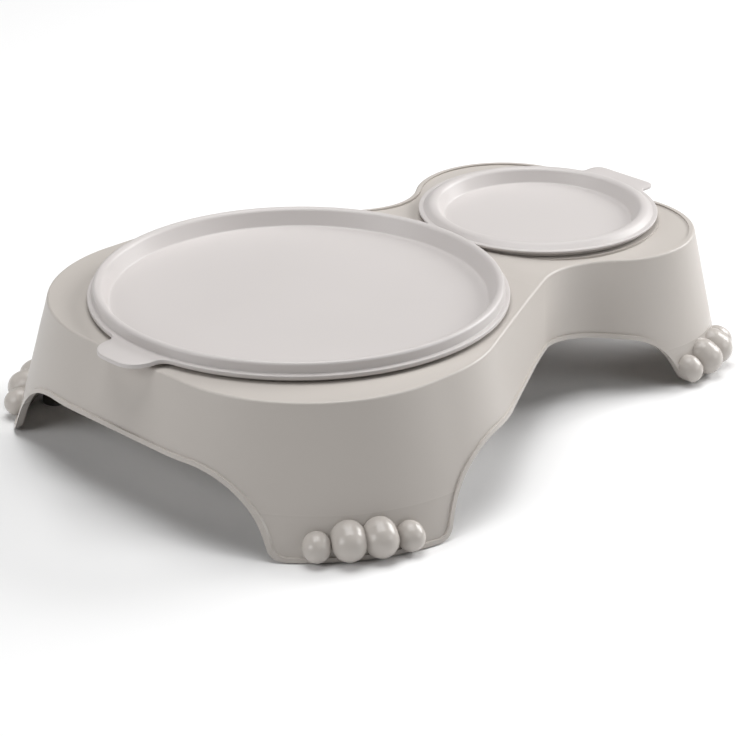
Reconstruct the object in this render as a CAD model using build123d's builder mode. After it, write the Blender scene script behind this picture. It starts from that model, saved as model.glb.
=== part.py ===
# Low feeding table for a pet: a moulded stand on four paws carries two lift-out bowls, each with its own lid.
# All lengths are in millimetres. The origin is on the ground under the middle of the object,
# +X points from the large bowl to the small one, +Z is up.
import os
from math import acos, atan2, cos, degrees, hypot, radians, sin, tan

from build123d import *

# Places along the table, measured from the middle of the large bowl
bowl_spacing = 150.3

# Heights: the deck at the large bowl, and how far below it the parts at the small bowl lie
pad_proud = 0.6
large_top = 62.2
small_seat_drop = 2.6
small_rim_drop = 2.9
small_deck_drop = 3.6

# Plan outline: two rounded lobes joined by a waist, given at the rim and where they meet the ground;
# the small lobe is placed from the middle of the small bowl
large_lobe_x = -22.0
large_lobe_run = 12.0
large_lobe_r = 71.0
large_lobe_spread = 29.5
large_foot_x = -19.5
large_foot_run = 6.0
large_foot_r = 90.5
large_foot_spread = 27.5
small_lobe_x = 10.5
small_lobe_r = 42.2
small_lobe_spread = 28.9
small_foot_x = 8.2
small_foot_r = 56.4
small_foot_spread = 30.5
waist_meet_angle = 160.0
waist_r = 40.0
waist_foot_r = 26.0

# Side view of the rim: level round the large bowl, then one long fall to the small end
fall_start = 60.0
fall_short = 0.3

# Side view of the deck: flush with the rim at the large end, then falling sooner than the rim does
deck_lift = 0.4
deck_fall_start = 58.0
deck_fall_short = 15.3

# Moulding
wall = 2.4
plate = 2.4
rim_w = 2.4
rim_round = 1.1

# Arches between the legs
arch_h = 32.5
arch_r = 40.0
leg_side_angle = 65.0
leg_corner_r = 8.0
side_arch_start = -28.0
side_arch_end = 5.7
side_arch_bend = 75.0
side_arch_end_h = 23.6
side_arch_end_r = 27.0
side_arch_bend_r = 150.0
large_end_arch = 82.0
small_end_arch = 62.0
lip_t = 0.9
lip_w = 1.8

# Paws: each toe is a round-ended form that tips outwards and down
toe_sizes = ((5.8, 6.6), (7.2, 8.8), (7.2, 8.8), (5.8, 6.6))
toe_pitch = 12.9
toe_out = 1.5
toe_tip = 30.0
toe_lift = 0.3
large_paw_angle = 119.4
small_paw_angle = 70.4

# Rubber feet, each held by its stem in a boss inside the leg
pad_r = 5.5
pad_t = 9.0
pad_stem_r = 2.0
pad_stem_l = 6.0
pad_stem_chamfer = 0.5
boss_r = 7.0
boss_z = 8.0
boss_h = 9.0
boss_inset = 9.0
boss_rib_t = 2.0

# Lids
large_lid_r = 89.7
small_lid_r = 54.8
flange_t = 1.2
flange_w = 2.1
bead_w = 9.5
bead_skin = 1.5
large_crest = 6.4
small_crest = 3.4
large_crest_fall = 2.3
small_crest_fall = 0.2
crest_round = 1.7
inner_round = 1.2
floor_step = 0.7
floor_t = 1.0
large_floor_z = -0.5
small_floor_z = 1.0
large_tab = 14.5
small_tab = 7.5
large_tab_half = 14.5
small_tab_half = 18.0
large_tab_corner_r = 7.0
small_tab_corner_r = 4.5
large_tab_root_r = 6.0
small_tab_root_r = 3.0

# Bowls
bowl_wall = 2.0
bowl_floor_t = 2.0
bowl_base_round = 14.0
large_bowl_bottom = 18.0
small_bowl_bottom = 19.0
large_bowl_base_r = 64.0
small_bowl_base_r = 36.0
shoulder_w = 1.6
shoulder_t = 1.7
neck_h = 3.6

# Low collar on the deck round the small bowl
collar_out = 0.8

# Clearances
lid_gap = 0.2
fit_gap = 0.3
hole_gap = 0.4

# Sizes worked out from the ones above
left_reach = large_lid_r + large_tab
right_reach = bowl_spacing + small_lid_r + small_tab
large_x = (left_reach - right_reach) / 2
small_x = large_x + bowl_spacing
beyond = left_reach + right_reach

small_top = large_top - small_seat_drop
small_deck = large_top - small_deck_drop

rim_line = ((fall_start, large_top), (bowl_spacing - fall_short, large_top - small_rim_drop))
deck_line = ((deck_fall_start, large_top + deck_lift), (bowl_spacing - deck_fall_short, small_deck))


def between(rim, foot, down):
    """A size between its values at the rim and at the ground; down runs from 0 at the rim to 1 at the ground."""
    return rim + (foot - rim) * down


def large_lobe(down):
    """Place, spread and radius of the large lobe at one level."""
    return (large_x + between(large_lobe_x, large_foot_x, down),
            between(large_lobe_spread, large_foot_spread, down), between(large_lobe_r, large_foot_r, down))


def small_lobe(down):
    """Place, spread and radius of the small lobe, in the same way."""
    return (small_x + between(small_lobe_x, small_foot_x, down),
            between(small_lobe_spread, small_foot_spread, down), between(small_lobe_r, small_foot_r, down))


def down_at(z):
    """How far down the wall height z lies, from 0 at the rim to 1 at the ground."""
    return (large_top - z) / large_top


def outline(down, grow):
    """Plan outline of the outer wall at one level, grown outwards by grow."""
    lobe_x, lobe_spread, lobe_r = large_lobe(down)
    lobe_run = between(large_lobe_run, large_foot_run, down)
    end_x, end_spread, end_r = small_lobe(down)
    meet_x = end_x + end_r * cos(radians(waist_meet_angle))
    meet_y = end_spread + end_r * sin(radians(waist_meet_angle))
    run_x = meet_x - lobe_x - lobe_run
    run_y = meet_y - lobe_spread
    tangent = atan2(run_y, run_x) + acos(lobe_r / hypot(run_x, run_y))
    start_x = lobe_x + lobe_run + lobe_r * cos(tangent)
    start_y = lobe_spread + lobe_r * sin(tangent)
    half = [(start_x, start_y), (meet_x, meet_y), (end_x, meet_y)]
    with BuildSketch() as plan:
        with Locations((lobe_x + lobe_run / 2, 0)):
            RectangleRounded(lobe_run + 2 * lobe_r, 2 * (lobe_spread + lobe_r), lobe_r)
        with Locations((end_x, 0)):
            SlotCenterToCenter(2 * end_spread, 2 * end_r, rotation=90)
        with BuildLine():
            Polyline(*half, *[(x, -y) for x, y in reversed(half)], close=True)
        make_face()
        corners = plan.vertices().filter_by(lambda v: hypot(v.X - meet_x, abs(v.Y) - meet_y) < 0.01)
        fillet(corners, radius=waist_r + (waist_foot_r - waist_r) * down)
        if grow:
            offset(amount=grow, kind=Kind.ARC)
    return plan.sketch


def below(line, lower):
    """Everything below a line seen from the side, lowered by lower; its stations are joined by smooth steps."""
    points = [(large_x + x, z - lower) for x, z in line]
    with BuildPart() as block:
        with BuildSketch(Plane.XZ):
            with BuildLine():
                Line((-beyond, points[0][1]), points[0])
                for start, end in zip(points, points[1:]):
                    if start[1] == end[1]:
                        Line(start, end)
                    else:
                        middle = ((start[0] + end[0]) / 2, (start[1] + end[1]) / 2)
                        TangentArc(start, middle, tangent=(1, 0))
                        TangentArc(end, middle, tangent=(-1, 0))
                Polyline(points[-1], (beyond, points[-1][1]), (beyond, -large_top), (-beyond, -large_top),
                         (-beyond, points[0][1]))
            make_face()
        extrude(amount=beyond, both=True)
    return block.part


def drafted(inset):
    """The table's drafted outside up to the full height, pulled in by inset."""
    with BuildPart() as body:
        with BuildSketch():
            add(outline(1, -inset))
        with BuildSketch(Plane.XY.offset(large_top)):
            add(outline(0, -inset))
        loft(ruled=True)
    return body.part


def drafted_below(inset, line, lower):
    """The same, with its top cut to a line that is lowered by lower."""
    with BuildPart() as body:
        add(drafted(inset))
        add(below(line, lower), mode=Mode.INTERSECT)
    return body.part


def arches(grow):
    """The space under the legs and arches, grown by grow."""
    leg_run = (arch_h - pad_proud) / tan(radians(leg_side_angle))
    end_run = (side_arch_end_h - pad_proud) / tan(radians(leg_side_angle))
    side = [(-beyond, pad_proud), (large_x + side_arch_start, pad_proud),
            (large_x + side_arch_start + leg_run, arch_h), (large_x + side_arch_bend, arch_h),
            (small_x + side_arch_end - end_run, side_arch_end_h),
            (small_x + side_arch_end, pad_proud), (beyond, pad_proud)]
    with BuildPart() as cut:
        with BuildSketch(Plane.XZ):
            with BuildLine():
                FilletPolyline(*side, radius=[leg_corner_r, arch_r, side_arch_bend_r,
                                              side_arch_end_r, leg_corner_r])
                Polyline(side[-1], (beyond, -large_top), (-beyond, -large_top), side[0])
            make_face()
            if grow:
                offset(amount=grow, kind=Kind.ARC)
        extrude(amount=beyond, both=True)
        for half, start, depth in ((large_end_arch, large_x, -beyond),
                                   (small_end_arch, small_x, beyond)):
            end = [(-beyond, pad_proud), (-half, pad_proud), (-half + leg_run, arch_h),
                   (half - leg_run, arch_h), (half, pad_proud), (beyond, pad_proud)]
            with BuildSketch(Plane.YZ.offset(start)):
                with BuildLine():
                    FilletPolyline(*end, radius=[leg_corner_r, arch_r, arch_r, leg_corner_r])
                    Polyline(end[-1], (beyond, -large_top), (-beyond, -large_top), end[0])
                make_face()
                if grow:
                    offset(amount=grow, kind=Kind.ARC)
            extrude(amount=depth)
    return cut.part


def polar(centre_x, centre_y, radius, angle):
    """A point on a circle, as x and y."""
    return centre_x + radius * cos(radians(angle)), centre_y + radius * sin(radians(angle))


def on_wall(paw, z, out, turn=0):
    """A point at height z, out beyond the outer wall, at a paw's angle plus turn."""
    lobe, angle, side = paw
    lobe_x, spread, radius = lobe(down_at(z))
    return polar(lobe_x, side * spread, radius + out, side * (angle + turn))


def make_toe(paw, index):
    """One toe of a paw: a round-ended form whose long axis runs outwards and down."""
    toe_r, toe_half = toe_sizes[index]
    middle = pad_proud + toe_lift + toe_r + (toe_half - toe_r) * sin(radians(toe_tip))
    lobe, angle, side = paw
    reach = lobe(down_at(middle))[2] + toe_out
    turn = (index - (len(toe_sizes) - 1) / 2) * degrees(toe_pitch / reach)
    x, y = on_wall(paw, middle, toe_out, turn)
    out_x, out_y = polar(0, 0, 1, side * (angle + turn))
    across = Vector(-out_y, out_x, 0)
    upright = Vector(out_x, out_y, 0) * sin(radians(toe_tip)) + Vector(0, 0, cos(radians(toe_tip)))
    tip = Plane((x, y, middle), x_dir=across, z_dir=upright)
    with BuildPart() as toe:
        with BuildSketch(tip):
            SlotOverall(2 * toe_half, 2 * toe_r, rotation=90)
            with Locations((-toe_r, 0)):
                Rectangle(2 * toe_r, 2 * toe_half, mode=Mode.SUBTRACT)
        revolve(axis=Axis((x, y, middle), tip.y_dir))
    return toe.part


def make_boss(paw):
    """The boss inside a leg that holds a rubber foot, with a rib to the wall, drilled for the foot's stem."""
    x, y = on_wall(paw, pad_proud, -wall - boss_inset)
    lobe, angle, side = paw
    with BuildPart() as boss:
        with BuildSketch(Plane.XY.offset(boss_z)):
            with Locations((x, y)):
                Circle(boss_r)
            with Locations(Location((x, y, 0), (0, 0, side * angle))):
                Rectangle(boss_inset, boss_rib_t, align=(Align.MIN, Align.CENTER))
        extrude(amount=boss_h)
        with Locations(Plane((x, y, boss_z), z_dir=(0, 0, -1))):
            recess = pad_t - boss_z
            CounterBoreHole(pad_stem_r, pad_r + hole_gap, recess, recess + pad_stem_l + hole_gap)
        add(outer, mode=Mode.INTERSECT)
    return boss.part


# One paw at each corner: the lobe it stands on, the direction it points and its side of the table
paws = {}
for side, side_name in ((-1, "right"), (1, "left")):
    paws[side_name + "_large"] = (large_lobe, large_paw_angle, side)
    paws[side_name + "_small"] = (small_lobe, small_paw_angle, side)

# Stand: thin drafted shell with arches, rounded rim, deck, collar plate, paws and bosses
outer = drafted_below(0, rim_line, 0)
inner = drafted_below(wall, deck_line, plate)
swollen = drafted_below(-lip_t, rim_line, 0)
under = arches(0)
edge_band = arches(lip_w)

with BuildPart() as stand:
    add(outer)
    tops = stand.faces().filter_by(lambda face: face.normal_at().Z > 0.9)
    walls = stand.faces().filter_by(lambda face: abs(face.normal_at().Z) < 0.5)
    fillet(tops.edges() & walls.edges(), radius=rim_round)
    with BuildPart(mode=Mode.PRIVATE) as pocket:
        add(drafted(rim_w))
        add(below(deck_line, 0), mode=Mode.SUBTRACT)
    add(pocket.part, mode=Mode.SUBTRACT)
    with BuildSketch(Plane.XY.offset(small_deck - plate)):
        with Locations((small_x, 0)):
            Circle(small_lid_r + collar_out)
    extrude(amount=small_top - small_deck + plate)
    for paw in paws.values():
        for index in range(len(toe_sizes)):
            add(make_toe(paw, index))
    add(inner, mode=Mode.SUBTRACT)
    for paw in paws.values():
        add(make_boss(paw))
    add(under, mode=Mode.SUBTRACT)

    for centre_x, top, lid_r in ((large_x, large_top, large_lid_r), (small_x, small_top, small_lid_r)):
        lip_r = lid_r - flange_w - bead_skin - fit_gap
        with BuildSketch(Plane.XY.offset(top)):
            with Locations((centre_x, 0)):
                Circle(lip_r + shoulder_w + fit_gap)
        extrude(amount=large_top, mode=Mode.SUBTRACT)
        with BuildSketch(Plane.XY.offset(arch_h)):
            with Locations((centre_x, 0)):
                Circle(lip_r + hole_gap)
        extrude(amount=large_top, mode=Mode.SUBTRACT)

    with BuildPart(mode=Mode.PRIVATE) as lip:
        add(swollen)
        add(outer, mode=Mode.SUBTRACT)
        add(edge_band, mode=Mode.INTERSECT)
        add(under, mode=Mode.SUBTRACT)
    add(lip.part)


def lid_level(seat):
    """Height of a lid's underside over the seat of its bowl's shoulder."""
    return seat + fit_gap + shoulder_t + lid_gap


def make_bowl(centre_x, seat, lid_r, crest, fall, bottom, base_r):
    """A lift-out bowl: thin flared wall, upright lip under the lid's bead, shoulder that rests on the seat."""
    level = lid_level(seat)
    lip_out = lid_r - flange_w - bead_skin - fit_gap
    lip_in = lip_out - bowl_wall
    lip_z = crest - fall - bead_skin - fit_gap
    shoulder_z = -lid_gap
    base_z = bottom - level
    with BuildPart() as bowl:
        with BuildSketch(Plane((centre_x, 0, level), x_dir=(1, 0, 0), z_dir=(0, -1, 0))) as profile:
            with BuildLine():
                Polyline((0, base_z), (base_r + bowl_wall, base_z), (lip_out, -neck_h),
                         (lip_out, shoulder_z - shoulder_t),
                         (lip_out + shoulder_w, shoulder_z - shoulder_t),
                         (lip_out + shoulder_w, shoulder_z), (lip_out, shoulder_z),
                         (lip_out, lip_z), (lip_in, lip_z), (lip_in, -neck_h),
                         (base_r, base_z + bowl_floor_t), (0, base_z + bowl_floor_t), close=True)
            make_face()
            corners = profile.vertices()
            low = corners.filter_by(lambda v: abs(v.X - base_r - bowl_wall) < 0.01)
            inside = corners.filter_by(lambda v: abs(v.X - base_r) < 0.01)
            fillet(low, radius=bowl_base_round + bowl_wall)
            fillet(inside, radius=bowl_base_round)
            fillet(profile.vertices().filter_by(lambda v: abs(v.Y - lip_z) < 0.01), radius=bowl_wall / 2.5)
        revolve(axis=Axis((centre_x, 0, level), (0, 0, 1)))
    return bowl.part


def make_lid(centre_x, seat, lid_r, crest, fall, floor_z, tab, tab_half, corner_r, root_r, side):
    """A press-on lid: hollow bead over the bowl's lip, sunken floor, thin flange and a finger tab."""
    level = lid_level(seat)
    bead_r = lid_r - flange_w
    bead_in = bead_r - bead_w
    cavity_out = bead_r - bead_skin
    cavity_in = bead_in + bead_skin
    slope = fall / bead_w
    with BuildPart() as lid:
        with BuildSketch(Plane.XY.offset(level)) as flange:
            with Locations((centre_x, 0)):
                Circle(lid_r)
            with Locations((centre_x + side * (lid_r + tab) / 2, 0)):
                RectangleRounded(lid_r + tab, 2 * tab_half, corner_r)
            roots = flange.vertices().filter_by(
                lambda v: abs(hypot(v.X - centre_x, v.Y) - lid_r) < 0.01 and abs(v.Y) > tab_half / 2)
            fillet(roots, radius=root_r)
            with Locations((centre_x, 0)):
                Circle(cavity_out, mode=Mode.SUBTRACT)
        extrude(amount=flange_t)
        with BuildSketch(Plane((centre_x, 0, level), x_dir=(1, 0, 0), z_dir=(0, -1, 0))) as profile:
            with BuildLine():
                Polyline((bead_r, 0), (bead_r, crest), (bead_in, crest - fall),
                         (bead_in - floor_step, floor_z), (0, floor_z), (0, floor_z - floor_t),
                         (cavity_in, floor_z - floor_t),
                         (cavity_in, crest - fall + slope * bead_skin - bead_skin),
                         (cavity_out, crest - slope * bead_skin - bead_skin), (cavity_out, 0), close=True)
            make_face()
            corners = profile.vertices()
            fillet(corners.filter_by(lambda v: abs(v.Y - crest) < 0.01), radius=crest_round)
            fillet(corners.filter_by(lambda v: abs(v.X - bead_in) < 0.01), radius=inner_round)
        revolve(axis=Axis((centre_x, 0, level), (0, 0, 1)))
    return lid.part


large_bowl = make_bowl(large_x, large_top, large_lid_r, large_crest, large_crest_fall,
                       large_bowl_bottom, large_bowl_base_r)
small_bowl = make_bowl(small_x, small_top, small_lid_r, small_crest, small_crest_fall,
                       small_bowl_bottom, small_bowl_base_r)
large_lid = make_lid(large_x, large_top, large_lid_r, large_crest, large_crest_fall, large_floor_z,
                     large_tab, large_tab_half, large_tab_corner_r, large_tab_root_r, -1)
small_lid = make_lid(small_x, small_top, small_lid_r, small_crest, small_crest_fall, small_floor_z,
                     small_tab, small_tab_half, small_tab_corner_r, small_tab_root_r, 1)

pieces = {"stand": stand.part, "large_bowl": large_bowl, "small_bowl": small_bowl,
          "large_lid": large_lid, "small_lid": small_lid}

# Rubber feet: a round block with a stem pushed up into each leg's boss
for paw_name, paw in paws.items():
    x, y = on_wall(paw, pad_proud, -wall - boss_inset)
    with BuildPart() as pad:
        with BuildSketch():
            with Locations((x, y)):
                Circle(pad_r)
        extrude(amount=pad_t)
        with BuildSketch(Plane.XY.offset(pad_t)):
            with Locations((x, y)):
                Circle(pad_stem_r)
        extrude(amount=pad_stem_l)
        chamfer(pad.edges().group_by(Axis.Z)[-1], length=pad_stem_chamfer)
    pieces["foot_pad_" + paw_name] = pad.part

os.makedirs("parts", exist_ok=True)
for name, piece in pieces.items():
    piece.label = name
    export_step(piece, "parts/" + name + ".step")
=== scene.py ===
"""Double feeding bowl on four paws, closed by two lids, on a plain pale floor."""
from math import atan2, cos, hypot, pi, radians, sin, sqrt, tan

import bmesh
import bpy
from mathutils import Matrix, Vector


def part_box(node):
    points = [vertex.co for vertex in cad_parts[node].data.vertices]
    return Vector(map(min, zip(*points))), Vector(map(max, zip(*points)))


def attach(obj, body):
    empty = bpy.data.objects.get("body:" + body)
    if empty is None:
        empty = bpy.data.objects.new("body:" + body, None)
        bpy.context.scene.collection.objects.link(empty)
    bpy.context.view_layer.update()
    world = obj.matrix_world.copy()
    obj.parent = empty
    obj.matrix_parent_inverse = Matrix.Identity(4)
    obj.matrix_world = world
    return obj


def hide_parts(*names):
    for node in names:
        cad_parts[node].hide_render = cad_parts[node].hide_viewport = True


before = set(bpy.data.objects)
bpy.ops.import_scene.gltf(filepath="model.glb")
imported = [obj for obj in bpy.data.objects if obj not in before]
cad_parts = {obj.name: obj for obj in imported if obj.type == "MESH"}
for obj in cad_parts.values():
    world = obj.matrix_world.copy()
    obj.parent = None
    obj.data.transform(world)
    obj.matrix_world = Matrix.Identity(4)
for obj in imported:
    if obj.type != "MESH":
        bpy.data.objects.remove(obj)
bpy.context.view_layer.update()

# Camera, in metres, degrees and millimetres of lens
CAMERA_PLACE = Vector((-0.8011, -0.8032, 0.5220))
CAMERA_YAW = 45.54
CAMERA_PITCH = 24.21
CAMERA_ROLL = 0.21
CAMERA_LENS = 136.7
SENSOR = 36.0
CLIP_START = 0.05

# Finishes: colour as it looks in print from 0 to 255, roughness, grain scale and grain depth in metres
FINISHES = {
    "stand_satin_plastic": ((193, 187, 181), 0.40, 900.0, 0.00004),
    "lid_satin_plastic": ((203, 198, 196), 0.40, 1100.0, 0.00003),
    "bowl_smooth_plastic": ((200, 195, 191), 0.30, 1300.0, 0.00002),
    "pad_soft_rubber": ((92, 90, 88), 0.75, 700.0, 0.00005),
}

# Slow changes over a surface: their scale and detail, how much lighter or darker the colour gets, and how
# much the roughness varies over the middle part of the noise
FLOW_SCALE = 9.0
FLOW_DETAIL = 3.0
TONE_CHANGE = 0.03
GLOSS_CHANGE = 0.06
FLOW_LOW = 0.3
FLOW_HIGH = 0.7

# Fine grain, and what all the plastics and the rubber share
GRAIN_DETAIL = 4.0
GRAIN_ROUGHNESS = 0.6
GRAIN_STRENGTH = 0.35
SURFACE_IOR = 1.49
SPECULAR_LEVEL = 0.45

# The stand's paws are more polished than its walls: fully below the first height, in metres, and not at all
# above the second
POLISH_LOW = 0.016
POLISH_HIGH = 0.024
PAW_POLISH = 0.60

# Lamps: name, place in metres, width in metres, power in watts; all of them face the object
LAMP_TARGET = (0.0, 0.0, 0.04)
LAMPS = (
    ("top_soft", (0.1, 0.2, 1.6), 1.2, 21.8),
    ("right_soft", (1.4, -0.3, 0.8), 0.8, 19.7),
    ("right_front_soft", (0.7, -1.4, 0.7), 0.8, 5.8),
    ("left_soft", (-1.5, 0.3, 0.8), 0.8, 9.1),
)

# The floor, in metres from its middle: it keeps its shadows up to the first distance, and past the second one
# the camera sees it as white
FLOOR_WHITE = (244, 244, 244)
FLOOR_ROUGHNESS = 0.9
FLOOR_HALF = 6.0
SHADOW_REACH = 0.45
WHITE_FROM = 1.1

# Both lids, in metres: the flange, the fillet where the bead meets it, and the sunken floor
FLANGE_T = 0.0012
FLANGE_W = 0.0021
FLANGE_EDGE = 0.0004
SKIRT_W = 0.0015
BEAD_FOOT_RUN = 0.0008
BEAD_FOOT_ROUND = 0.0005
LID_FLOOR_T = 0.0010
LID_FLOOR_RUN = 0.0040
LID_FLOOR_ROUND = 0.0012

# Each lid, in metres, with heights measured from its underside. Its lift is how far the underside lies over
# the node's lowest point, and its skirt is how far the flange's edge turns down. Side is where the tab
# points, along X. The bead runs from its outer foot to its inner corner, and then down to the lid's floor
LIDS = {
    "large_lid": {
        "bowl": "large_bowl",
        "side": -1,
        "lift": 0.0015,
        "skirt": 0.0007,
        "bead": {"width": 0.0034, "lean": 0.0002, "crest": 0.0059, "fall": 0.0001, "crest_round": 0.0015,
                 "corner_round": 0.0026, "run": 0.0036, "floor": -0.0015},
        "hollow": {"skin": 0.0012, "top": 0.0042, "lean": 0.0027},
        "tab": {"reach": 0.0145, "half": 0.0145, "corner_r": 0.0105, "root_r": 0.0060},
    },
    "small_lid": {
        "bowl": "small_bowl",
        "side": 1,
        "lift": 0.0,
        "skirt": 0.0,
        "bead": {"width": 0.0062, "lean": 0.0030, "crest": 0.0034, "fall": 0.0001, "crest_round": 0.0040,
                 "corner_round": 0.0029, "run": 0.0035, "floor": -0.0029},
        "hollow": {"skin": 0.0016, "top": 0.0016, "lean": 0.0032},
        "tab": {"reach": 0.0075, "half": 0.0180, "corner_r": 0.0050, "root_r": 0.0030},
    },
}

# How finely the lids are cut, and the angle from which an edge looks sharp
RIM_STEP = radians(2)
TAB_STEP = radians(10)
BEAD_STEPS = 6
FLANGE_STEPS = 3
SHARP_ANGLE = radians(40)


def linear(rgb):
    """A colour given as 0 to 255 print values, as the linear values that a shader takes."""
    values = [c / 255 for c in rgb]
    return tuple(v / 12.92 if v <= 0.04045 else ((v + 0.055) / 1.055) ** 2.4 for v in values) + (1.0,)


def new_material(name):
    """An empty node material with one principled shader, and the output that it is joined to."""
    material = bpy.data.materials.new(name)
    material.use_nodes = True
    tree = material.node_tree
    tree.nodes.clear()
    output = tree.nodes.new("ShaderNodeOutputMaterial")
    shader = tree.nodes.new("ShaderNodeBsdfPrincipled")
    tree.links.new(shader.outputs["BSDF"], output.inputs["Surface"])
    return material, shader, output


def noise(tree, place, scale, detail):
    """A noise over the surface, in the object's own coordinates."""
    node = tree.nodes.new("ShaderNodeTexNoise")
    node.inputs["Scale"].default_value = scale
    node.inputs["Detail"].default_value = detail
    tree.links.new(place.outputs["Object"], node.inputs["Vector"])
    return node


def map_range(tree, value, start, end, first=0.0, last=1.0):
    """A node that turns one range of values into another, and holds still outside it."""
    node = tree.nodes.new("ShaderNodeMapRange")
    node.inputs["From Min"].default_value = start
    node.inputs["From Max"].default_value = end
    node.inputs["To Min"].default_value = first
    node.inputs["To Max"].default_value = last
    tree.links.new(value, node.inputs["Value"])
    return node


def multiply(tree, first, second):
    """A node that multiplies two values."""
    node = tree.nodes.new("ShaderNodeMath")
    node.operation = "MULTIPLY"
    tree.links.new(first, node.inputs[0])
    tree.links.new(second, node.inputs[1])
    return node


def moulded_plastic(name, low_polish=1.0):
    """Moulded plastic or rubber: slow changes of tone and gloss, and fine pitted grain.

    The roughness is multiplied by low_polish near the ground.
    """
    rgb, roughness, grain_scale, grain_depth = FINISHES[name]
    material, shader, output = new_material(name)
    tree = material.node_tree
    nodes, links = tree.nodes, tree.links
    place = nodes.new("ShaderNodeTexCoord")
    base = linear(rgb)

    flow = noise(tree, place, FLOW_SCALE, FLOW_DETAIL)
    shade = nodes.new("ShaderNodeMixRGB")
    shade.inputs["Color1"].default_value = tuple(c * (1 - TONE_CHANGE) for c in base[:3]) + (1.0,)
    shade.inputs["Color2"].default_value = tuple(c * (1 + TONE_CHANGE) for c in base[:3]) + (1.0,)
    links.new(flow.outputs["Fac"], shade.inputs["Fac"])
    links.new(shade.outputs["Color"], shader.inputs["Base Color"])

    grain = noise(tree, place, grain_scale, GRAIN_DETAIL)
    grain.inputs["Roughness"].default_value = GRAIN_ROUGHNESS
    bump = nodes.new("ShaderNodeBump")
    bump.inputs["Strength"].default_value = GRAIN_STRENGTH
    bump.inputs["Distance"].default_value = grain_depth
    links.new(grain.outputs["Fac"], bump.inputs["Height"])
    links.new(bump.outputs["Normal"], shader.inputs["Normal"])

    smoothest = roughness - GLOSS_CHANGE / 2
    roughest = roughness + GLOSS_CHANGE / 2
    gloss = map_range(tree, flow.outputs["Fac"], FLOW_LOW, FLOW_HIGH, smoothest, roughest)
    height = nodes.new("ShaderNodeSeparateXYZ")
    links.new(place.outputs["Object"], height.inputs["Vector"])
    polish = map_range(tree, height.outputs["Z"], POLISH_LOW, POLISH_HIGH, low_polish, 1.0)
    polished = multiply(tree, gloss.outputs["Result"], polish.outputs["Result"])
    links.new(polished.outputs["Value"], shader.inputs["Roughness"])
    shader.inputs["IOR"].default_value = SURFACE_IOR
    shader.inputs["Specular IOR Level"].default_value = SPECULAR_LEVEL
    return material


def dress(node, material):
    """Gives a carried-over node its finished material."""
    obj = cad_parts[node]
    obj.data.materials.clear()
    obj.data.materials.append(material)


def arc(centre, radius, start, end, step):
    """Points along an arc from one angle to another, ends included."""
    count = max(1, round(abs(end - start) / step))
    turns = [start + (end - start) * i / count for i in range(count + 1)]
    return [(centre[0] + radius * cos(turn), centre[1] + radius * sin(turn)) for turn in turns]


def rounded(points, radii, steps):
    """A line of points with its inner corners rounded; a radius of 0 leaves a corner sharp."""
    line = [points[0]]
    for before, corner, after, radius in zip(points, points[1:], points[2:], radii):
        if radius == 0:
            line.append(corner)
            continue
        back = Vector(before) - Vector(corner)
        ahead = Vector(after) - Vector(corner)
        half = back.angle(ahead) / 2
        middle = (back.normalized() + ahead.normalized()).normalized()
        centre = Vector(corner) + middle * (radius / sin(half))
        first = Vector(corner) + back.normalized() * (radius / tan(half)) - centre
        last = Vector(corner) + ahead.normalized() * (radius / tan(half)) - centre
        turn = atan2(first.x * last.y - first.y * last.x, first.dot(last))
        for i in range(steps + 1):
            angle = turn * i / steps
            line.append((centre.x + first.x * cos(angle) - first.y * sin(angle),
                         centre.y + first.x * sin(angle) + first.y * cos(angle)))
    line.append(points[-1])
    return line


def flange_outline(lid_r, tab):
    """Outline of a lid's flange round the lid's middle, its tab towards +X, as a closed list of points."""
    half, corner_r, root_r = tab["half"], tab["corner_r"], tab["root_r"]
    reach = lid_r + tab["reach"]
    root_x = sqrt((lid_r + root_r) ** 2 - (half + root_r) ** 2)
    root_turn = atan2(half + root_r, root_x)
    end = [(reach, y) for y in (0.0, (half - corner_r) / 2)]
    corner = arc((reach - corner_r, half - corner_r), corner_r, 0.0, pi / 2, TAB_STEP)
    root = arc((root_x, half + root_r), root_r, -pi / 2, root_turn - pi, TAB_STEP)
    round_edge = arc((0.0, 0.0), lid_r, root_turn, pi, RIM_STEP)
    upper = end + corner + root + round_edge[1:]
    return upper + [(x, -y) for x, y in reversed(upper[1:-1])]


def lid_section(lid_r, lid):
    """A lid's underside, flange edge and top, each as a list of points.

    The first and last give radius and height, and the edge gives inset from the flange's outline and height.
    """
    bead, hollow, skirt = lid["bead"], lid["hollow"], lid["skirt"]
    bead_r = lid_r - FLANGE_W
    bead_in = bead_r - bead["width"]
    floor_r = bead_in - bead["run"]
    floor, crest = bead["floor"], bead["crest"]
    hollow_r = bead_r - hollow["skin"]
    plug_r = floor_r + LID_FLOOR_T

    under = [(plug_r, floor - LID_FLOOR_T), (plug_r + hollow["lean"], hollow["top"]),
             (hollow_r, hollow["top"]), (hollow_r, 0.0), (lid_r - SKIRT_W, 0.0), (lid_r - SKIRT_W, -skirt)]
    edge = rounded([(1.0, -skirt), (0.0, -skirt), (0.0, FLANGE_T), (1.0, FLANGE_T)],
                   [FLANGE_EDGE, FLANGE_EDGE], FLANGE_STEPS)[1:-1]
    above = rounded([(bead_r + BEAD_FOOT_RUN, FLANGE_T), (bead_r, FLANGE_T), (bead_r - bead["lean"], crest),
                     (bead_in, crest - bead["fall"]), (floor_r, floor), (floor_r - LID_FLOOR_RUN, floor),
                     (0.0, floor)],
                    [BEAD_FOOT_ROUND, bead["crest_round"], bead["corner_round"], LID_FLOOR_ROUND, 0],
                    BEAD_STEPS)[:-1]
    return under, edge, above


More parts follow.
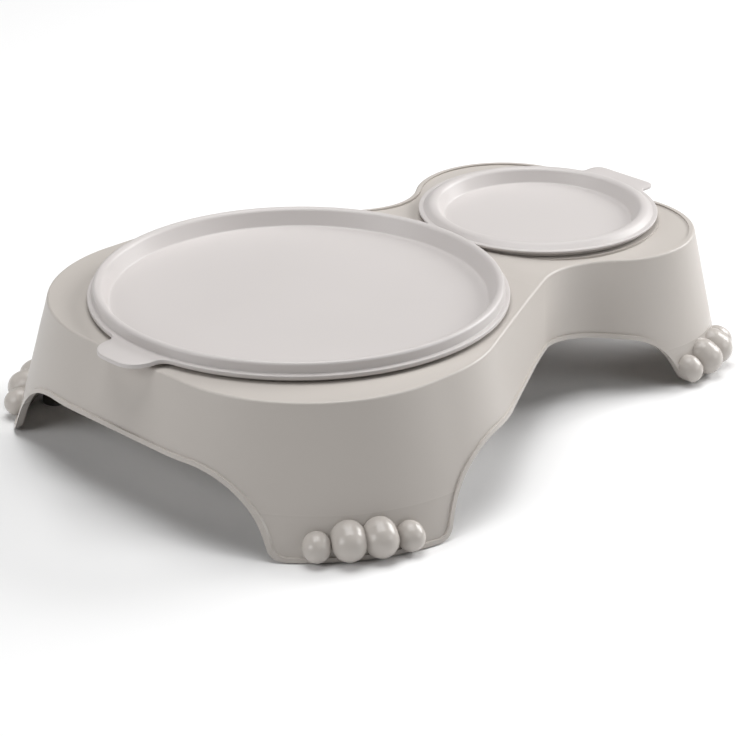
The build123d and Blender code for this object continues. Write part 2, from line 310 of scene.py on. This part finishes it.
def make_lid(name, lid, material):
    """A lid with its rounded bead, sunken floor, flange and tab, in place of its plain node."""
    low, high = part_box(name)
    bowl_low, bowl_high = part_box(lid["bowl"])
    centre_x = (bowl_low[0] + bowl_high[0]) / 2
    lid_r = (high[1] - low[1]) / 2
    level = low[2] + lid["lift"]
    side = lid["side"]
    outline = flange_outline(lid_r, lid["tab"])
    count = len(outline)
    turns = [atan2(y, x) for x, y in outline]
    reach = [hypot(x, y) for x, y in outline]
    under, edge, above = lid_section(lid_r, lid)

    mesh = bmesh.new()
    rings = []

    def ring(radii, z):
        rings.append([mesh.verts.new((centre_x + side * r * cos(turn), side * r * sin(turn), level + z))
                      for r, turn in zip(radii, turns)])

    for r, z in under:
        ring([r] * count, z)
    for inset, z in edge:
        ring([r - inset for r in reach], z)
    for r, z in above:
        ring([r] * count, z)
    for first, second in zip(rings, rings[1:]):
        for i in range(count):
            j = (i + 1) % count
            mesh.faces.new((first[i], first[j], second[j], second[i]))
    for loop in (rings[0], rings[-1]):
        middle = mesh.verts.new((centre_x, 0.0, loop[0].co.z))
        for i in range(count):
            mesh.faces.new((loop[i], loop[(i + 1) % count], middle))
    bmesh.ops.recalc_face_normals(mesh, faces=mesh.faces)

    data = bpy.data.meshes.new(name + "_moulding")
    mesh.to_mesh(data)
    mesh.free()
    data.shade_smooth()
    data.set_sharp_from_angle(angle=SHARP_ANGLE)
    data.materials.append(material)
    obj = bpy.data.objects.new(name + "_moulding", data)
    bpy.context.scene.collection.objects.link(obj)
    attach(obj, name)
    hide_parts(name)


def add_object():
    """Finishes the carried-over nodes and builds the two lids."""
    shell = moulded_plastic("stand_satin_plastic", PAW_POLISH)
    lid_plastic = moulded_plastic("lid_satin_plastic")
    bowl = moulded_plastic("bowl_smooth_plastic")
    rubber = moulded_plastic("pad_soft_rubber")
    dress("stand", shell)
    dress("large_bowl", bowl)
    dress("small_bowl", bowl)
    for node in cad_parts:
        if node.startswith("foot_pad"):
            dress(node, rubber)
    for name, lid in LIDS.items():
        make_lid(name, lid, lid_plastic)


def add_floor():
    """A wide pale floor that keeps the object's shadow, and that the camera sees as white further off."""
    mesh = bpy.data.meshes.new("floor")
    corners = [(-FLOOR_HALF, -FLOOR_HALF, 0), (FLOOR_HALF, -FLOOR_HALF, 0),
               (FLOOR_HALF, FLOOR_HALF, 0), (-FLOOR_HALF, FLOOR_HALF, 0)]
    mesh.from_pydata(corners, [], [(0, 1, 2, 3)])
    floor = bpy.data.objects.new("floor", mesh)
    bpy.context.scene.collection.objects.link(floor)

    material, shader, output = new_material("floor_white")
    shader.inputs["Base Color"].default_value = linear(FLOOR_WHITE)
    shader.inputs["Roughness"].default_value = FLOOR_ROUGHNESS
    tree = material.node_tree
    nodes, links = tree.nodes, tree.links
    place = nodes.new("ShaderNodeTexCoord")
    away = nodes.new("ShaderNodeVectorMath")
    away.operation = "LENGTH"
    links.new(place.outputs["Object"], away.inputs[0])
    fade = map_range(tree, away.outputs["Value"], SHADOW_REACH, WHITE_FROM)
    fade.interpolation_type = "SMOOTHSTEP"
    ray = nodes.new("ShaderNodeLightPath")
    seen = multiply(tree, fade.outputs["Result"], ray.outputs["Is Camera Ray"])
    white = nodes.new("ShaderNodeEmission")
    mix = nodes.new("ShaderNodeMixShader")
    links.new(seen.outputs["Value"], mix.inputs["Fac"])
    links.new(shader.outputs["BSDF"], mix.inputs[1])
    links.new(white.outputs["Emission"], mix.inputs[2])
    links.new(mix.outputs["Shader"], output.inputs["Surface"])
    mesh.materials.append(material)


def add_lamp(name, place, width, watts):
    """A soft square lamp that faces the object."""
    lamp = bpy.data.lights.new(name, "AREA")
    lamp.size = width
    lamp.energy = watts
    obj = bpy.data.objects.new(name, lamp)
    obj.location = place
    obj.rotation_euler = (Vector(LAMP_TARGET) - Vector(place)).to_track_quat("-Z", "Y").to_euler()
    bpy.context.scene.collection.objects.link(obj)


def add_world():
    """A backdrop that the camera sees as white; it gives no light, which comes from the lamps alone."""
    world = bpy.data.worlds.new("studio")
    bpy.context.scene.world = world
    world.use_nodes = True
    tree = world.node_tree
    tree.nodes.clear()
    output = tree.nodes.new("ShaderNodeOutputWorld")
    ray = tree.nodes.new("ShaderNodeLightPath")
    white = tree.nodes.new("ShaderNodeBackground")
    white.inputs["Color"].default_value = (1, 1, 1, 1)
    tree.links.new(ray.outputs["Is Camera Ray"], white.inputs["Strength"])
    tree.links.new(white.outputs["Background"], output.inputs["Surface"])


def add_camera():
    """The camera, at the photograph's viewing angle."""
    camera = bpy.data.cameras.new("camera")
    camera.sensor_width = SENSOR
    camera.lens = CAMERA_LENS
    camera.clip_start = CLIP_START
    obj = bpy.data.objects.new("camera", camera)
    turn = (Matrix.Rotation(radians(CAMERA_YAW - 90), 4, "Z")
            @ Matrix.Rotation(radians(90 - CAMERA_PITCH), 4, "X")
            @ Matrix.Rotation(radians(CAMERA_ROLL), 4, "Z"))
    obj.matrix_world = Matrix.Translation(CAMERA_PLACE) @ turn
    bpy.context.scene.collection.objects.link(obj)
    bpy.context.scene.camera = obj


add_camera()
add_object()
add_floor()
for lamp_row in LAMPS:
    add_lamp(*lamp_row)
add_world()
bpy.context.scene.view_settings.view_transform = "Standard"
